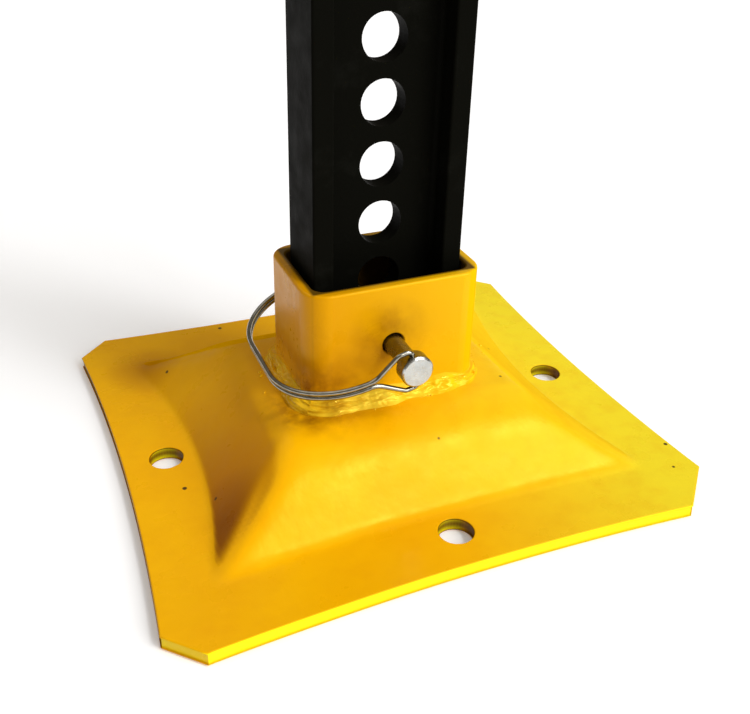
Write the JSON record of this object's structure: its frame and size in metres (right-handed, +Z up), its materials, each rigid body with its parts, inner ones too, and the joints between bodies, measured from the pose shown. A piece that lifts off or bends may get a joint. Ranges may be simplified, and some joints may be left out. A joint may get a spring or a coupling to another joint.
{
  "type": "bollard",
  "caption": "Pinned post foot: pressed yellow steel base plate with a welded rectangular socket, a perforated black I-section post and a wire lock pin.",
  "frame": {"origin": "on the floor under the middle of the base plate", "axes": "+Z up along the post, X along the plate's longer side, -Y towards the side that the lock pin's head is on"},
  "size_m": [0.178, 0.165, 0.4184],
  "materials": {
    "yellow_enamel": "glossy yellow enamel over pressed and welded steel",
    "black_coat": "satin black coating on rolled steel",
    "zinc_plate": "zinc-plated steel, dull on the head's face",
    "spring_wire": "bright spring wire"
  },
  "bodies": {
    "base": {"base_plate": "yellow_enamel", "socket_tube": "yellow_enamel", "weld_front": "yellow_enamel", "weld_back": "yellow_enamel", "weld_left": "yellow_enamel", "weld_right": "yellow_enamel"},
    "post": {"post_bar": "black_coat"},
    "pin": {"lock_pin": "zinc_plate"},
    "wire": {"pin_wire": "spring_wire"}
  },
  "joints": [
    {"name": "post_lift", "type": "slide", "parent": "base", "child": "post", "axis": [0, 0, 1], "range_m": [0, 0.0071]},
    {"name": "pin_slide", "type": "slide", "parent": "base", "child": "pin", "axis": [0, 1, 0], "range_m": [-0.01, 0.01]},
    {"name": "wire_swing", "type": "hinge", "parent": "pin", "child": "wire", "pos_m": [-0.0015, -0.0356, 0.04398], "axis": [-0.225, 0, 0.9744], "range_deg": [0, 150]}
  ]
}
